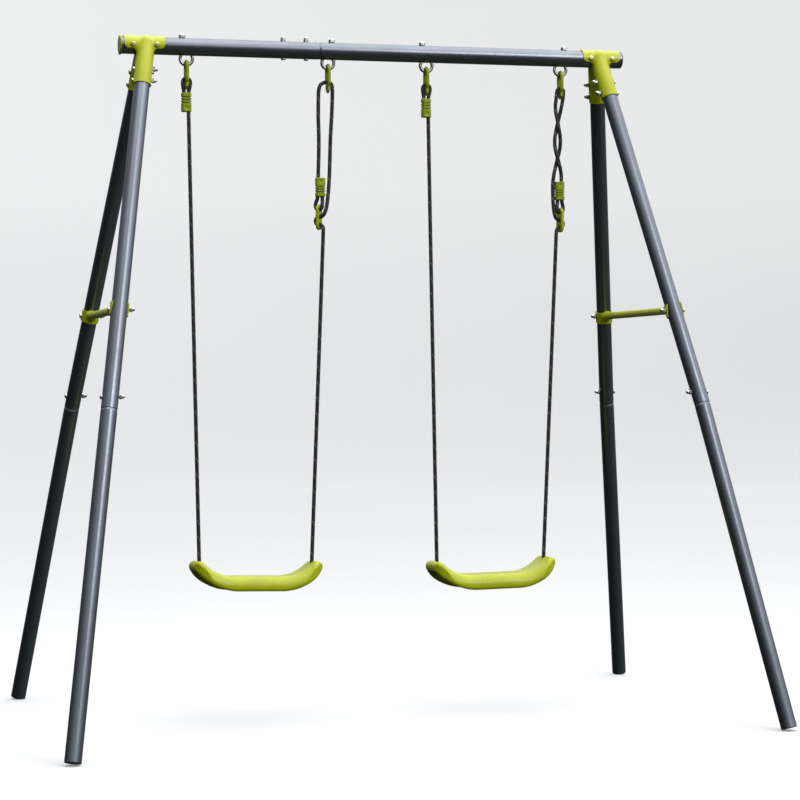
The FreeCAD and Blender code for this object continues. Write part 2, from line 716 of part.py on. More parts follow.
def seat_arc_centres():
    """The centres of the right half's top arc, bottom arc and round end, which touch."""
    top = V(SEAT_LEVEL_TOP, 0, SEAT_HEIGHT + SEAT_TOP_RADIUS)
    bottom = V(SEAT_LEVEL_BOTTOM, 0, SEAT_BOTTOM_RADIUS)
    from_top = SEAT_TOP_RADIUS + SEAT_END_RADIUS
    from_bottom = SEAT_BOTTOM_RADIUS - SEAT_END_RADIUS
    between = bottom - top
    apart = between.Length
    along = (apart ** 2 + from_top ** 2 - from_bottom ** 2) / (2 * apart)
    across = math.sqrt(from_top ** 2 - along ** 2)
    direction = between.normalize()
    end = top + direction * along + V(direction.z, 0, -direction.x) * across
    if end.x < top.x:
        end = top + direction * along - V(direction.z, 0, -direction.x) * across
    return top, bottom, end


def seat_profile(inset, open_below):
    """The seat seen from the front, or with an inset its hollow, which runs on downwards."""
    top, bottom, end = seat_arc_centres()
    top_middle = V(SEAT_LEVEL_TOP, 0, SEAT_HEIGHT - inset)
    top_touch = top + (end - top).normalize() * (SEAT_TOP_RADIUS + inset)
    tip = end + RIGHT * (SEAT_END_RADIUS - inset)
    bottom_touch = bottom + (end - bottom).normalize() * SEAT_BOTTOM_RADIUS
    low = V(tip.x, 0, -SEAT_HEIGHT) if open_below else V(SEAT_LEVEL_BOTTOM, 0, 0)

    edges = []
    for side in (-1, 1):
        def at(point):
            return V(side * point.x, 0, point.z)
        edges.append(arc(at(top), at(top_middle), at(top_touch)))
        edges.append(arc(at(end), at(top_touch), at(tip)))
        if open_below:
            edges.append(Part.LineSegment(at(tip), at(low)).toShape())
        else:
            edges.append(arc(at(end), at(tip), at(bottom_touch)))
            edges.append(arc(at(bottom), at(bottom_touch), at(low)))
    for point in (top_middle, low):
        edges.append(Part.LineSegment(V(-point.x, 0, point.z), point).toShape())
    return Part.Face(Part.Wire(Part.__sortEdges__(edges)))


def seat_plan(inset):
    """The seat seen from above, with its corners rounded, as a tall prism."""
    half_width = SEAT_HALF_WIDTH - inset
    depth = SEAT_DEPTH - 2 * inset
    low = V(-half_width, -depth / 2, -2 * SEAT_HEIGHT)
    box = Part.makeBox(2 * half_width, depth, 6 * SEAT_HEIGHT, low)
    return box.makeFillet(SEAT_PLAN_CORNER - inset, [e for e in box.Edges if is_upright(e)])


def seat_block(inset, open_below):
    """What the seat's outline from the front and its outline from above both hold."""
    prism = seat_profile(inset, open_below).extrude(BACK * SEAT_DEPTH)
    prism.translate(BACK * (-SEAT_DEPTH / 2))
    return prism.common(seat_plan(inset))


def rolled_bar(inset):
    """A bar bent like the seat's top, with wide round shoulders at the front and back."""
    tall = 2.5 * SEAT_HEIGHT
    depth = SEAT_DEPTH - 2 * inset
    low = V(-SEAT_LEVEL_TOP, -depth / 2, SEAT_HEIGHT - inset - tall)
    middle = Part.makeBox(2 * SEAT_LEVEL_TOP, depth, tall, low)
    shoulders = [e for e in middle.Edges
                 if e.BoundBox.XLength > SEAT_LEVEL_TOP and e.CenterOfMass.z > 0]
    middle = middle.makeFillet(SEAT_SHOULDER_RADIUS - inset, shoulders)
    ends = []
    for side in (-1, 1):
        centre = V(side * SEAT_LEVEL_TOP, 0, SEAT_HEIGHT + SEAT_TOP_RADIUS)
        face = [f for f in middle.Faces if abs(f.CenterOfMass.x - side * SEAT_LEVEL_TOP) < 0.01][0]
        ends.append(face.revolve(centre, BACK * -side, 80))
    return fused([middle] + ends)


def seat_hole_top(side):
    """Where a rope enters the seat, on top of its curled-up end."""
    _, _, end = seat_arc_centres()
    across = SEAT_HOLE_HALF_SPACING - end.x
    return V(side * SEAT_HOLE_HALF_SPACING, 0,
             end.z + math.sqrt(SEAT_END_RADIUS ** 2 - across ** 2))


def seat_pivot(side):
    """The point inside a rope hole that the seat turns about."""
    return seat_hole_top(side) - UP * PIVOT_DEPTH


def hung(swing, shape):
    """A shape of the seat moved from the seat's own frame to where the seat hangs."""
    pivot = seat_pivot(1)
    shape.rotate(V(0, 0, pivot.z), RIGHT, SEAT_PITCHES[swing])
    shape.rotate(V(0, 0, 0), BACK, SEAT_ROLLS[swing])
    shape.translate(SEAT_PLACES[swing])
    return shape


def seat(swing):
    """A shell with rolled edges, ribs below, and a boss for each rope."""
    block = seat_block(0, False)
    body = block.makeFillet(SEAT_EDGE_RADIUS, [e for e in block.Edges
                                               if e.CenterOfMass.z > SEAT_HEIGHT / 2])
    body = body.common(rolled_bar(0))
    lowered = body.translated(UP * -SEAT_SKIN)
    hollow = seat_block(SEAT_SKIN, True).common(rolled_bar(SEAT_SKIN)).common(lowered)
    raised = block.translated(UP * SEAT_RIB_LIFT)
    ribs = seat_ribs().common(hollow).common(raised)
    bosses = [rod(seat_hole_top(side) - UP * BOSS_DEPTH, seat_hole_top(side), BOSS_RADIUS)
              for side in (-1, 1)]
    bosses = [boss.common(body) for boss in bosses]
    shell = fused([body.cut(hollow), ribs] + bosses)
    for side in (-1, 1):
        shell = shell.cut(rope_hole(seat_hole_top(side)))
    return hung(swing, shell)


def seat_ribs():
    """One rib along the middle and five across it."""
    low = V(0, 0, -SEAT_HEIGHT)
    tall = 3 * SEAT_HEIGHT
    length = 5.2 * SEAT_RIB_PITCH
    slabs = [Part.makeBox(length, SEAT_RIB, tall, low - V(length / 2, SEAT_RIB / 2, 0))]
    for step in range(-2, 3):
        corner = low + V(step * SEAT_RIB_PITCH - SEAT_RIB / 2, -SEAT_DEPTH / 2, 0)
        slabs.append(Part.makeBox(SEAT_RIB, SEAT_DEPTH, tall, corner))
    return fused(slabs)


def rope_hole(top):
    """A hole that widens fore and aft, upwards from the point that the seat turns about."""
    pivot = top - UP * PIVOT_DEPTH
    narrow = ROPE_RADIUS + HOLE_PLAY
    rise = 2 * PIVOT_DEPTH
    flare = Part.makeCone(narrow, narrow + rise * FLARE_SLOPE, rise, pivot, UP)
    size = 4 * narrow
    sides = Part.makeBox(2 * narrow, size, rise, pivot - V(narrow, size / 2, 0))
    return fused([flare.common(sides), rod(pivot - UP * BOSS_DEPTH, pivot, narrow)])


def knot(swing, side):
    """The rope's stopper knot below the boss, with the stub that comes up to the pivot."""
    below = seat_hole_top(side) - UP * (BOSS_DEPTH + GAP)
    stub = rod(below - UP * 5, seat_pivot(side), ROPE_RADIUS)
    rounds = [Part.makeTorus(ROPE_RADIUS, ROPE_RADIUS, below - UP * (ROPE_RADIUS + down))
              for down in (0.0, KNOT_PITCH)]
    core = rod(below - UP * (KNOT_PITCH + 10), below - UP * 2, ROPE_RADIUS)
    return hung(swing, fused([stub, core] + rounds))


def rope(name, route):
    """A round rope along a route of straight runs joined by tangent arcs."""
    points = [V(p[0], p[2] if len(p) > 2 else 0, p[1]) for p in route]
    edges = []
    radii = []
    last = points[0]
    for before, point, after in zip(points, points[1:], points[2:]):
        into = (point - before).normalize()
        out = (after - point).normalize()
        half_turn = into.getAngle(out) / 2
        reach = 0.45 * min((point - before).Length, (after - point).Length)
        radius = reach / math.tan(half_turn)
        towards = (out - into).normalize()
        middle = point + towards * (radius / math.cos(half_turn) - radius)
        start = point - into * reach
        end = point + out * reach
        edges.append(Part.LineSegment(last, start).toShape())
        edges.append(Part.Arc(start, middle, end).toShape())
        radii.append(radius)
        last = end
    edges.append(Part.LineSegment(last, points[-1]).toShape())
    path = Part.Wire(edges)
    section = ring_wire(points[0], points[1] - points[0], ROPE_RADIUS)
    solid = path.makePipeShell([section], True, False)
    full = math.pi * ROPE_RADIUS ** 2 * path.Length
    print(f"{name}: length {path.Length:.1f}, volume / full volume {solid.Volume / full:.4f}, "
          f"radii {[round(r, 1) for r in radii]}")
    return solid


def swing_parts(swing, left_route, right_route):
    eyes = {side: eye_places()[f"{swing}_{side}"][0] for side in ("left", "right")}
    strands = {"left": left_route[-1][0], "right": right_route[-1][0]}
    tail_side = -1 if swing == 1 else 1
    return {
        f"hanger_{swing}_left": hanger(eyes["left"]),
        f"hanger_{swing}_right": hanger(eyes["right"]),
        f"rope_{swing}_left": rope(f"rope_{swing}_left", left_route),
        f"rope_{swing}_right": rope(f"rope_{swing}_right", right_route),
        f"ferrule_{swing}_left": ferrule(
            strands["left"] + STRAND_OFFSET, UPPER_FERRULE_BOTTOM, True),
        f"ferrule_{swing}_right": ferrule(
            strands["right"] + tail_side * STRAND_OFFSET, LOWER_FERRULE_BOTTOM, False),
        f"adjuster_{swing}": adjuster(swing),
        f"seat_{swing}": seat(swing),
        f"knot_{swing}_left": knot(swing, -1),
        f"knot_{swing}_right": knot(swing, 1),
    }


def frame_parts():
    parts = {
        "beam_left_tube": beam_left_tube(),
        "beam_right_tube": beam_right_tube(),
        "beam_end_cap_left": beam_end_cap(-1, BEAM_RADIUS + 3, 5.0),
        "beam_end_cap_right": beam_end_cap(1, BEAM_RADIUS - 0.5, 3.0),
        "eye_nuts": eye_nuts(),
    }
    names = {(-1, -1): "front_left", (1, -1): "front_right",
             (-1, 1): "back_left", (1, 1): "back_right"}
    for (side, depth), name in names.items():
        parts[f"upper_leg_{name}"] = upper_leg(side, depth)
        parts[f"lower_leg_{name}"] = lower_leg(side, depth)
        parts[f"foot_plug_{name}"] = foot_plug(side, depth)
    for side, name in ((-1, "left"), (1, "right")):
        parts[f"corner_bracket_{name}"] = corner_bracket(side)
        parts[f"side_brace_{name}"] = side_brace(side)
    for name in eye_places():
        parts[f"eye_bolt_{name}"] = eye_bolt(name)
    groups = {
        "beam_joint": beam_joint_fasteners(),
        "saddle": saddle_fasteners(),
        "bracket_leg": bracket_leg_fasteners(),
        "leg_joint": leg_joint_fasteners(),
        "brace": brace_fasteners(),
    }
    for name, (bolts, nuts) in groups.items():
        parts[f"{name}_bolts"] = bolts
        parts[f"{name}_nuts"] = nuts
    return parts


def main():
    os.makedirs("parts", exist_ok=True)
    parts = frame_parts()
    parts.update(swing_parts(1, ROUTE_1_LEFT, ROUTE_1_RIGHT))
    parts.update(swing_parts(2, ROUTE_2_LEFT, ROUTE_2_RIGHT))
    for name, shape in parts.items():
        if not shape.isValid():
            print(f"{name} isn't valid")
        shape.exportStep(f"parts/{name}.step")
    print(f"{len(parts)} nodes, {sum(len(s.Solids) for s in parts.values())} solids")


main()
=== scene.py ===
import json
import math

import bpy
import numpy as np
from mathutils import Matrix, Vector


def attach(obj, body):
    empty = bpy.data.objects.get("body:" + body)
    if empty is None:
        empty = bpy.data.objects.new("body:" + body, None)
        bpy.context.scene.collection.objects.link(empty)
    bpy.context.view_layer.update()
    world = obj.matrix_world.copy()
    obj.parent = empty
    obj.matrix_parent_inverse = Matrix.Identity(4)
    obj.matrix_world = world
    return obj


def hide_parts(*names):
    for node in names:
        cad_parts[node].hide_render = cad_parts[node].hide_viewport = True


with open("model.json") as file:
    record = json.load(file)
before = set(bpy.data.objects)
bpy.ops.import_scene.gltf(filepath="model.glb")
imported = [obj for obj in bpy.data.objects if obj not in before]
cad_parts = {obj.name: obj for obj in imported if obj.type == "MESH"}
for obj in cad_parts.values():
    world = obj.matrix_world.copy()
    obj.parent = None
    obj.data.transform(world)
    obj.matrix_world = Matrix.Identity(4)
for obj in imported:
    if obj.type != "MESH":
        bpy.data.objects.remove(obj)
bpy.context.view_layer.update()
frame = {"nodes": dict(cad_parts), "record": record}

# Camera: lengths in millimetres, places in metres, angles in radians

SENSOR_WIDTH = 36.0
LENS = 105.4575
FAR_CLIP = 60.0
CAMERA_PLACE = (-1.7365, -6.6556, 0.9669)
CAMERA_YAW = 0.2639
CAMERA_PITCH = -0.0066
CAMERA_ROLL = -0.0071


def add_camera():
    """The camera at the photograph's viewing angle: yaw turns it right, pitch lifts it."""
    ahead = Vector((math.sin(CAMERA_YAW) * math.cos(CAMERA_PITCH),
                    math.cos(CAMERA_YAW) * math.cos(CAMERA_PITCH),
                    math.sin(CAMERA_PITCH)))
    level = Vector((math.cos(CAMERA_YAW), -math.sin(CAMERA_YAW), 0))
    upright = level.cross(ahead)
    right = level * math.cos(CAMERA_ROLL) + upright * math.sin(CAMERA_ROLL)
    up = upright * math.cos(CAMERA_ROLL) - level * math.sin(CAMERA_ROLL)
    data = bpy.data.cameras.new("camera")
    data.sensor_width = SENSOR_WIDTH
    data.lens = LENS
    data.clip_end = FAR_CLIP
    camera = bpy.data.objects.new("camera", data)
    turn = Matrix((right, up, -ahead)).transposed().to_4x4()
    camera.matrix_world = Matrix.Translation(CAMERA_PLACE) @ turn
    bpy.context.scene.collection.objects.link(camera)
    bpy.context.scene.camera = camera


# Node trees


class Shader:
    """A material's node tree, with short calls for the nodes that the looks here need."""

    def __init__(self, name):
        self.material = bpy.data.materials.new(name)
        self.material.use_nodes = True
        self.tree = self.material.node_tree
        self.surface = self.tree.nodes["Principled BSDF"]
        self.place = self.node("ShaderNodeTexCoord").outputs["Object"]

    def node(self, kind, **settings):
        node = self.tree.nodes.new(kind)
        for key, value in settings.items():
            setattr(node, key, value)
        return node

    def link(self, output, socket):
        self.tree.links.new(output, socket)

    def set(self, **values):
        for key, value in values.items():
            self.surface.inputs[key.replace("_", " ")].default_value = value

    def noise(self, scale, detail=2.0, rough=0.5, place=None):
        """A noise value from 0 to 1; scale is in features for each metre."""
        node = self.node("ShaderNodeTexNoise")
        node.inputs["Scale"].default_value = scale
        node.inputs["Detail"].default_value = detail
        node.inputs["Roughness"].default_value = rough
        self.link(place or self.place, node.inputs["Vector"])
        return node.outputs["Fac"]

    def cells(self, scale, feature="F1"):
        node = self.node("ShaderNodeTexVoronoi", feature=feature)
        node.inputs["Scale"].default_value = scale
        self.link(self.place, node.inputs["Vector"])
        return node

    def ramp(self, value, stops):
        """A colour ramp; each stop is a position and a colour."""
        node = self.node("ShaderNodeValToRGB")
        elements = node.color_ramp.elements
        while len(elements) < len(stops):
            elements.new(0.5)
        for element, (position, colour) in zip(elements, stops):
            element.position = position
            element.color = (*colour, 1.0)
        self.link(value, node.inputs["Fac"])
        return node.outputs["Color"]

    def spread(self, value, low, high, from_low=0.0, from_high=1.0):
        """The value mapped to the range from low to high, and kept inside it."""
        node = self.node("ShaderNodeMapRange")
        for key, number in (("From Min", from_low), ("From Max", from_high),
                            ("To Min", low), ("To Max", high)):
            node.inputs[key].default_value = number
        self.link(value, node.inputs["Value"])
        return node.outputs["Result"]

    def mix(self, factor, first, second):
        """Two colours mixed; each of them is an output or a plain colour."""
        node = self.node("ShaderNodeMix", data_type="RGBA")
        self.link(factor, node.inputs["Factor"])
        for socket, colour in ((node.inputs["A"], first), (node.inputs["B"], second)):
            if isinstance(colour, tuple):
                socket.default_value = (*colour, 1.0)
            else:
                self.link(colour, socket)
        return node.outputs["Result"]

    def colour(self, output):
        self.link(output, self.surface.inputs["Base Color"])

    def roughness(self, output):
        self.link(output, self.surface.inputs["Roughness"])

    def bump(self, *heights):
        """Bump from several heights, each of them an output and its depth in metres."""
        normal = None
        for output, depth in heights:
            node = self.node("ShaderNodeBump")
            node.inputs["Distance"].default_value = depth
            self.link(output, node.inputs["Height"])
            if normal:
                self.link(normal, node.inputs["Normal"])
            normal = node.outputs["Normal"]
        self.link(normal, self.surface.inputs["Normal"])


# Materials


def frame_coat():
    """Anthracite metallic powder coat: fine flake, a faint orange peel, light wear."""
    look = Shader("frame_coat")
    patch = look.spread(look.noise(9, 3), 0.0, 1.0, 0.3, 0.7)
    base = look.mix(patch, (0.118, 0.129, 0.150), (0.138, 0.150, 0.174))
    flake = look.node("ShaderNodeRGBToBW")
    look.link(look.cells(1800).outputs["Color"], flake.inputs["Color"])
    sparkle = look.spread(flake.outputs["Val"], 0.0, 0.35, 0.70, 1.0)
    scuff = look.spread(look.noise(55, 6, 0.8), 0.0, 0.18, 0.68, 0.82)
    look.colour(look.mix(scuff, look.mix(sparkle, base, (0.30, 0.32, 0.36)), (0.045, 0.048, 0.052)))
    look.roughness(look.spread(look.noise(35, 4), 0.28, 0.36, 0.3, 0.7))
    look.bump((look.noise(420, 2), 0.000015), (look.noise(1500, 1), 0.000006))
    look.set(Metallic=0.92, Coat_Weight=0.12, Coat_Roughness=0.30)
    return look.material


def bracket_coat():
    """Lime powder coat on castings: thicker and glossier than the tubes' coat."""
    look = Shader("bracket_coat")
    tone = look.noise(14, 4)
    coat = look.ramp(tone, [(0.3, (0.34, 0.37, 0.001)), (0.7, (0.41, 0.44, 0.002))])
    speck = look.spread(look.noise(240, 5, 0.7), 0.0, 0.3, 0.64, 0.80)
    look.colour(look.mix(speck, coat, (0.24, 0.28, 0.002)))
    look.roughness(look.spread(look.noise(60, 3), 0.30, 0.42, 0.3, 0.7))
    look.bump((look.noise(300, 2), 0.00012), (look.noise(1100, 2), 0.00003))
    look.set(Specular_IOR_Level=0.35, Coat_Weight=0.1, Coat_Roughness=0.15)
    return look.material


def green_plastic(name, dark, bright, gloss):
    """Moulded lime plastic: slight flow marks, a fine grain, and small scuffs."""
    look = Shader(name)
    flow = look.noise(22, 4)
    body = look.ramp(flow, [(0.3, dark), (0.72, bright)])
    scuff = look.spread(look.noise(160, 6, 0.75), 0.0, 0.3, 0.64, 0.80)
    worn = tuple(0.75 * c for c in dark)
    look.colour(look.mix(scuff, body, worn))
    look.roughness(look.spread(look.noise(90, 4), gloss - 0.05, gloss + 0.09, 0.3, 0.7))
    look.bump((look.noise(750, 3), 0.00005), (look.noise(45, 2), 0.0003))
    look.set(Specular_IOR_Level=0.35, Subsurface_Weight=0.04, Subsurface_Scale=0.004)
    return look.material


def plated(name, dull, middle, bright):
    """Zinc plate: bright, with an uneven film that runs through the three colours."""
    look = Shader(name)
    film = look.noise(70, 4, 0.6)
    look.colour(look.ramp(film, [(0.30, dull), (0.50, middle), (0.72, bright)]))
    look.roughness(look.spread(look.noise(240, 4), 0.20, 0.42, 0.3, 0.7))
    look.bump((look.noise(900, 3), 0.00004))
    look.set(Metallic=1.0)
    return look.material


def black_plastic():
    """Black moulded plastic with a satin grain and a little dust."""
    look = Shader("black_plastic")
    dust = look.spread(look.noise(120, 5, 0.7), 0.0, 0.6, 0.55, 0.8)
    look.colour(look.mix(dust, (0.012, 0.012, 0.013), (0.05, 0.05, 0.048)))
    look.roughness(look.spread(look.noise(300, 3), 0.38, 0.6, 0.3, 0.7))
    look.bump((look.noise(1200, 2), 0.00006))
    return look.material


def rope_fibre():
    """Black braid: one strand and stray fibres are paler."""
    look = Shader("rope_fibre")
    pale_strand = look.node("ShaderNodeAttribute", attribute_name="pale_strand").outputs["Fac"]
    lint = look.spread(look.noise(1600, 4, 0.7), 0.0, 0.5, 0.6, 0.75)
    yarn = look.mix(lint, (0.008, 0.008, 0.009), (0.05, 0.05, 0.048))
    look.colour(look.mix(pale_strand, yarn, (0.13, 0.13, 0.12)))
    look.roughness(look.spread(look.noise(500, 3), 0.62, 0.85, 0.3, 0.7))
    look.bump((look.noise(2600, 3), 0.00012))
    look.set(Sheen_Weight=0.06, Sheen_Roughness=0.4)
    return look.material


# Ropes

ROPE_RADIUS = 0.00575
BRAID_STRANDS = 6
BRAID_PITCH = 0.0075
RING_POINTS = 24
RING_STEP = 0.0015
BRAID_CORE = 0.90  # the braid's valleys as a part of the rope's radius
BRAID_RISE = 0.13  # and how much higher its crowns stand
PATH_STEPS = 24

ROUTE_1_LEFT = [
    (-0.5398, 0.4577), (-0.5610, 1.7440), (-0.5610, 1.8110), (-0.5550, 1.8300), (-0.5550, 1.8434),
    (-0.5616, 1.8496), (-0.5704, 1.8496), (-0.5770, 1.8434), (-0.5770, 1.8300), (-0.5730, 1.8110),
    (-0.5732, 1.7640),
]
ROUTE_1_RIGHT = [
    (-0.2080, 0.4490), (-0.1683, 1.4100, -0.0090), (-0.1680, 1.4250, -0.0093),
    (-0.1733, 1.4340, -0.0048), (-0.1825, 1.4341, 0.0030), (-0.1874, 1.4404, 0.0071),
    (-0.1874, 1.4496, 0.0071), (-0.1825, 1.4560, 0.0030), (-0.1736, 1.4564, -0.0045),
    (-0.1654, 1.4635, -0.0108), (-0.1585, 1.4840, -0.0120), (-0.1525, 1.5200, -0.0070),
    (-0.1475, 1.5680, -0.0020), (-0.1448, 1.6270), (-0.1430, 1.6850), (-0.1390, 1.7430),
    (-0.1362, 1.8000), (-0.1355, 1.8411), (-0.1440, 1.8496), (-0.1629, 1.8497), (-0.1770, 1.8355),
    (-0.1782, 1.7950), (-0.1788, 1.7430), (-0.1772, 1.6850), (-0.1784, 1.6260), (-0.1805, 1.5720),
    (-0.1806, 1.5140), (-0.1876, 1.4970, 0.0050), (-0.1874, 1.4846, 0.0071),
    (-0.1825, 1.4780, 0.0030), (-0.1755, 1.4780, -0.0030), (-0.1706, 1.4846, -0.0071),
    (-0.1690, 1.5000, -0.0035), (-0.1685, 1.5160), (-0.1684, 1.5600),
]
ROUTE_2_LEFT = [
    (0.1711, 0.4385), (0.1540, 1.7440), (0.1540, 1.8110), (0.1600, 1.8300), (0.1600, 1.8434),
    (0.1534, 1.8496), (0.1446, 1.8496), (0.1380, 1.8434), (0.1380, 1.8300), (0.1420, 1.8110),
    (0.1418, 1.7640),
]
ROUTE_2_RIGHT = [
    (0.5031, 0.4443), (0.5487, 1.4100, -0.0045), (0.5487, 1.4250, -0.0045),
    (0.5554, 1.4340, -0.0023), (0.5669, 1.4341, 0.0014), (0.5730, 1.4404, 0.0034),
    (0.5730, 1.4496, 0.0034), (0.5669, 1.4560, 0.0014), (0.5554, 1.4564, -0.0023),
    (0.5455, 1.4635, -0.0055), (0.5404, 1.4840, -0.0070), (0.5390, 1.5150, -0.0040),
    (0.5400, 1.5680), (0.5448, 1.5970), (0.5560, 1.6320, 0.0080), (0.5678, 1.6840),
    (0.5570, 1.7380, -0.0080), (0.5485, 1.7900), (0.5538, 1.8250), (0.5550, 1.8434),
    (0.5616, 1.8496), (0.5704, 1.8496), (0.5770, 1.8434), (0.5745, 1.8220), (0.5685, 1.7900),
    (0.5570, 1.7380, 0.0080), (0.5444, 1.6840), (0.5560, 1.6320, -0.0080), (0.5674, 1.5970),
    (0.5674, 1.5680), (0.5673, 1.5140), (0.5732, 1.4970, 0.0025), (0.5730, 1.4846, 0.0034),
    (0.5669, 1.4780, 0.0014), (0.5581, 1.4780, -0.0014), (0.5520, 1.4846, -0.0034),
    (0.5528, 1.5000, -0.0015), (0.5555, 1.5160), (0.5554, 1.5600),
]


def smooth_path(name, route):
    """The points of the smooth curve whose control points are the route's."""
    data = bpy.data.curves.new(name + "_path", "CURVE")
    data.dimensions = "3D"
    spline = data.splines.new("NURBS")
    spline.points.add(len(route) - 1)
    for point, place in zip(spline.points, route):
        y = place[2] if len(place) > 2 else 0.0
        point.co = (place[0], y, place[1], 1.0)
    spline.order_u = 3
    spline.use_endpoint_u = True
    spline.resolution_u = PATH_STEPS
    curve = bpy.data.objects.new(name + "_path", data)
    bpy.context.scene.collection.objects.link(curve)
    bpy.context.view_layer.update()
    mesh = bpy.data.meshes.new_from_object(curve)
    points = np.array([v.co[:] for v in mesh.vertices])
    bpy.data.objects.remove(curve)
    bpy.data.meshes.remove(mesh)
    return points


def even_steps(points, step):
    """Points a step apart along a line of points."""
    along = np.concatenate([[0.0], np.cumsum(np.linalg.norm(np.diff(points, axis=0), axis=1))])
    places = np.linspace(0.0, along[-1], int(along[-1] / step) + 1)
    return np.stack([np.interp(places, along, points[:, axis]) for axis in range(3)], axis=1), places


def cross_axes(points):
    """Two axes square to the line at each point, turned no more than the line turns."""
    ahead = np.gradient(points, axis=0)
    ahead /= np.linalg.norm(ahead, axis=1)[:, None]
    side = np.array([0.0, 1.0, 0.0])
    sides = []
    for direction in ahead:
        side = side - direction * (side @ direction)
        side = side / np.linalg.norm(side)
        sides.append(side)
    sides = np.array(sides)
    return sides, np.cross(ahead, sides)


def braid(turns, along):
    """How high a braid's surface stands, from 0 to 1, and where its paler strand is."""
    first = turns * BRAID_STRANDS + along / BRAID_PITCH
    second = turns * BRAID_STRANDS - along / BRAID_PITCH
    over = (np.floor(first) + np.floor(second)) % 2 < 1
    across = np.where(over, first, second) % 1.0
    length = np.where(over, second, first) % 1.0
    crown = np.sin(math.pi * across) * (0.55 + 0.45 * np.sin(math.pi * length))
    pale_strand = over & (np.floor(first) % BRAID_STRANDS < 1)
    return crown, pale_strand


def rope(name, route, body):
    """A braided rope along its route, from the seat up to the end in the clamp."""
    path = smooth_path(name, route)
    points, along = even_steps(path, RING_STEP)
    sides, others = cross_axes(points)
    turns = np.arange(RING_POINTS) / RING_POINTS
    angle = 2 * math.pi * turns
    height, pale_strand = braid(turns[None, :], along[:, None])
    radius = ROPE_RADIUS * (BRAID_CORE + BRAID_RISE * height)
    rings = (points[:, None, :]
             + radius[..., None] * (np.cos(angle)[None, :, None] * sides[:, None, :]
                                    + np.sin(angle)[None, :, None] * others[:, None, :]))
    count = len(points)
    faces = []
    for ring in range(count - 1):
        low = ring * RING_POINTS
        for place in range(RING_POINTS):
            after = (place + 1) % RING_POINTS
            faces.append((low + place, low + after,
                          low + RING_POINTS + after, low + RING_POINTS + place))
    faces.append(tuple(range(RING_POINTS))[::-1])
    faces.append(tuple(range((count - 1) * RING_POINTS, count * RING_POINTS)))
    mesh = bpy.data.meshes.new(name + "_braid")
    mesh.from_pydata(rings.reshape(-1, 3).tolist(), [], faces)
    mesh.attributes.new("pale_strand", "FLOAT", "POINT").data.foreach_set(
        "value", pale_strand.reshape(-1).astype(np.float32))
    mesh.shade_smooth()
    piece = bpy.data.objects.new(name + "_braid", mesh)
    bpy.context.scene.collection.objects.link(piece)
    mesh.materials.append(bpy.data.materials["rope_fibre"])
    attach(piece, body)
    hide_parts(name)


def add_ropes():
    rope("rope_1_left", ROUTE_1_LEFT, "swing_1")
    rope("rope_1_right", ROUTE_1_RIGHT, "swing_1")
    rope("rope_2_left", ROUTE_2_LEFT, "swing_2")
    rope("rope_2_right", ROUTE_2_RIGHT, "swing_2")


# CAD nodes


def dress_cad_nodes():
    """Each CAD node takes the look of its slot, or the one that its name's start calls for."""
    named_looks = {
        "seat": green_plastic("seat_plastic", (0.33, 0.37, 0.001), (0.40, 0.44, 0.002), 0.30),
        "adjuster": green_plastic("adjuster_plastic", (0.28, 0.33, 0.001), (0.35, 0.40, 0.002), 0.32),
        "eye_bolt": plated("eye_zinc", (0.24, 0.20, 0.17), (0.42, 0.38, 0.35), (0.60, 0.58, 0.57)),
        # The saddle bolts are plain zinc with a green-yellow tint painted on: a painted reflection of
        # the lime saddle.
        "saddle_bolts": plated("saddle_zinc_green_reflection", (0.30, 0.32, 0.10), (0.46, 0.48, 0.20),
                               (0.62, 0.64, 0.36)),
    }
    slot_looks = {
        "frame_coat": frame_coat(),
        "bracket_coat": bracket_coat(),
        "zinc": plated("zinc", (0.40, 0.41, 0.39), (0.60, 0.61, 0.58), (0.76, 0.77, 0.74)),
        "black_plastic": black_plastic(),
        "rope": bpy.data.materials["rope_fibre"],
        "green_plastic": green_plastic("fitting_plastic", (0.19, 0.24, 0.002),
                                       (0.27, 0.32, 0.003), 0.32),
    }
    slots = {part["node"]: part["material_slot"] for part in frame["record"]["subparts"]}
    for name, node in frame["nodes"].items():
        look = slot_looks[slots[name]]
        for start, named_look in named_looks.items():
            if name.startswith(start):
                look = named_look
        for slot in node.material_slots:
            slot.material = look
        if not node.material_slots:
            node.data.materials.append(look)


# Stage and light

WALL_PLACE = 18.0
WALL_TOP = 20.0
WALL_BEND = 3.0
BEND_STEPS = 16
ROUND_STEPS = 96

# The sky's colour from straight down (0) through the horizon (0.5) to straight up (1).
SKY_STOPS = [
    (0.0, (0.035, 0.045, 0.035)), (0.48, (0.06, 0.07, 0.07)), (0.58, (0.16, 0.17, 0.18)),
    (0.68, (0.55, 0.57, 0.61)), (0.78, (0.94, 0.96, 1.0)), (1.0, (1.0, 1.0, 1.0)),
]
SKY_LEFT = 0.35
SKY_RIGHT = 2.6
OVERHEAD_POWER = 200
KEY_POWER = 160


def add_backdrop(name, verts, faces, paper):
    mesh = bpy.data.meshes.new(name)
    mesh.from_pydata(verts, [], faces)
    mesh.shade_smooth()
    mesh.materials.append(paper)
    piece = bpy.data.objects.new(name, mesh)
    bpy.context.scene.collection.objects.link(piece)
    piece.visible_diffuse = False
    piece.visible_glossy = False
    return piece


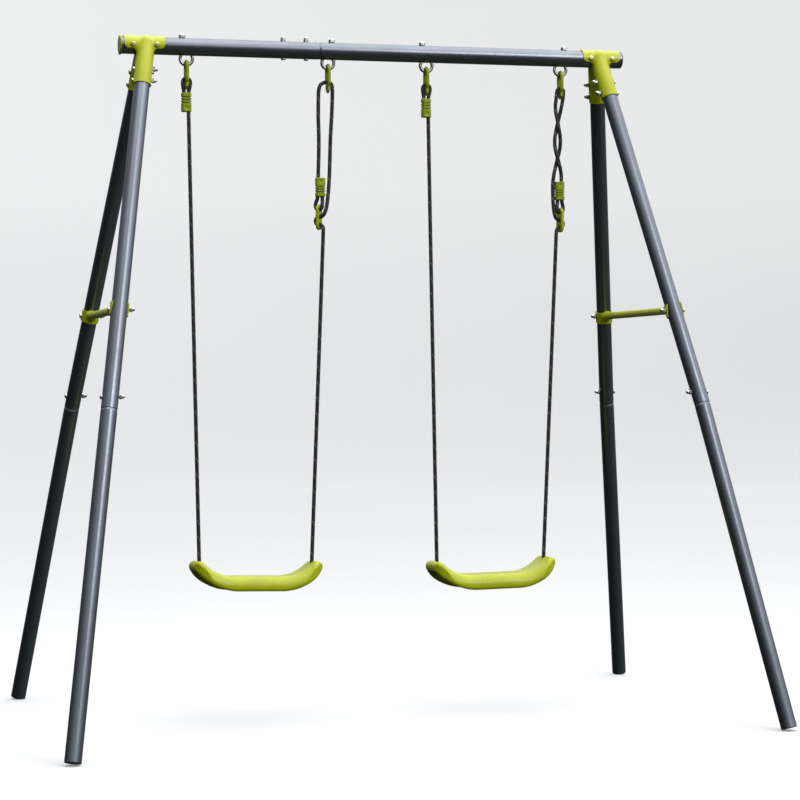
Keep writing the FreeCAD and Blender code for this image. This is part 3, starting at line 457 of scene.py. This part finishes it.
def add_floor():
    """A pale round floor that curves up into a wall, which lets the sky's light through."""
    paper = backdrop_paper()
    bend_start = WALL_PLACE - WALL_BEND
    profile = [(bend_start + WALL_BEND * math.sin(turn), WALL_BEND * (1 - math.cos(turn)))
               for turn in np.linspace(0, math.pi / 2, BEND_STEPS)]
    profile.append((WALL_PLACE, WALL_TOP))
    rings = [[(radius * math.cos(turn), radius * math.sin(turn), height)
              for turn in np.linspace(0, 2 * math.pi, ROUND_STEPS, endpoint=False)]
             for radius, height in profile]
    add_backdrop("floor", rings[0], [tuple(range(ROUND_STEPS))], paper)
    faces = []
    for ring in range(len(rings) - 1):
        low = ring * ROUND_STEPS
        for step in range(ROUND_STEPS):
            after = (step + 1) % ROUND_STEPS
            faces.append((low + step, low + after,
                          low + ROUND_STEPS + after, low + ROUND_STEPS + step))
    wall = add_backdrop("wall", [place for ring in rings for place in ring], faces, paper)
    wall.visible_shadow = False


def backdrop_paper():
    """White paper, lit from within a little, and more so up the wall, which gets less light."""
    look = Shader("backdrop")
    look.colour(look.ramp(look.noise(0.6), [(0.2, (0.46, 0.46, 0.46)), (0.8, (0.48, 0.48, 0.48))]))
    parts = look.node("ShaderNodeSeparateXYZ")
    look.link(look.place, parts.inputs["Vector"])
    height = look.spread(parts.outputs["Z"], 0.0, 1.0, 0.0, WALL_BEND)
    glow = look.ramp(height, [(0.0, (0.20, 0.20, 0.20)), (1.0, (0.60, 0.60, 0.60))])
    look.link(glow, look.surface.inputs["Emission Color"])
    look.set(Roughness=0.95, Emission_Strength=1.0)
    return look.material


def add_area_light(name, place, target, size, power):
    data = bpy.data.lights.new(name, "AREA")
    data.shape = "RECTANGLE"
    data.size, data.size_y = size
    data.energy = power
    light = bpy.data.objects.new(name, data)
    aim = (Vector(target) - Vector(place)).to_track_quat("-Z", "Y")
    light.matrix_world = Matrix.Translation(place) @ aim.to_matrix().to_4x4()
    bpy.context.scene.collection.objects.link(light)


def add_sky():
    """A soft sky over dark ground, brighter on the right, which gives the tubes their shading."""
    world = bpy.data.worlds.new("studio")
    world.use_nodes = True
    tree = world.node_tree
    background = tree.nodes["Background"]
    direction = tree.nodes.new("ShaderNodeTexCoord")
    parts = tree.nodes.new("ShaderNodeSeparateXYZ")
    ramp = tree.nodes.new("ShaderNodeValToRGB")
    lift = tree.nodes.new("ShaderNodeMapRange")
    tree.links.new(direction.outputs["Generated"], parts.inputs["Vector"])
    tree.links.new(parts.outputs["Z"], lift.inputs["Value"])
    tree.links.new(lift.outputs["Result"], ramp.inputs["Fac"])
    tree.links.new(ramp.outputs["Color"], background.inputs["Color"])
    lift.inputs["From Min"].default_value = -1.0
    elements = ramp.color_ramp.elements
    while len(elements) < len(SKY_STOPS):
        elements.new(0.5)
    for element, (position, colour) in zip(elements, SKY_STOPS):
        element.position = position
        element.color = (*colour, 1.0)
    side = tree.nodes.new("ShaderNodeMapRange")
    for key, number in (("From Min", -1.0), ("From Max", 1.0),
                        ("To Min", SKY_LEFT), ("To Max", SKY_RIGHT)):
        side.inputs[key].default_value = number
    tree.links.new(parts.outputs["X"], side.inputs["Value"])
    tree.links.new(side.outputs["Result"], background.inputs["Strength"])
    bpy.context.scene.world = world


def add_light():
    add_sky()
    bpy.context.scene.view_settings.view_transform = "Standard"
    add_area_light("overhead", (0.0, -0.5, 5.5), (0, 0, 0.8), (6.0, 5.0), OVERHEAD_POWER)
    add_area_light("key", (3.0, -6.0, 5.0), (0, 0, 1.0), (2.5, 2.5), KEY_POWER)


def main():
    add_camera()
    rope_fibre()
    add_ropes()
    dress_cad_nodes()
    add_floor()
    add_light()


main()
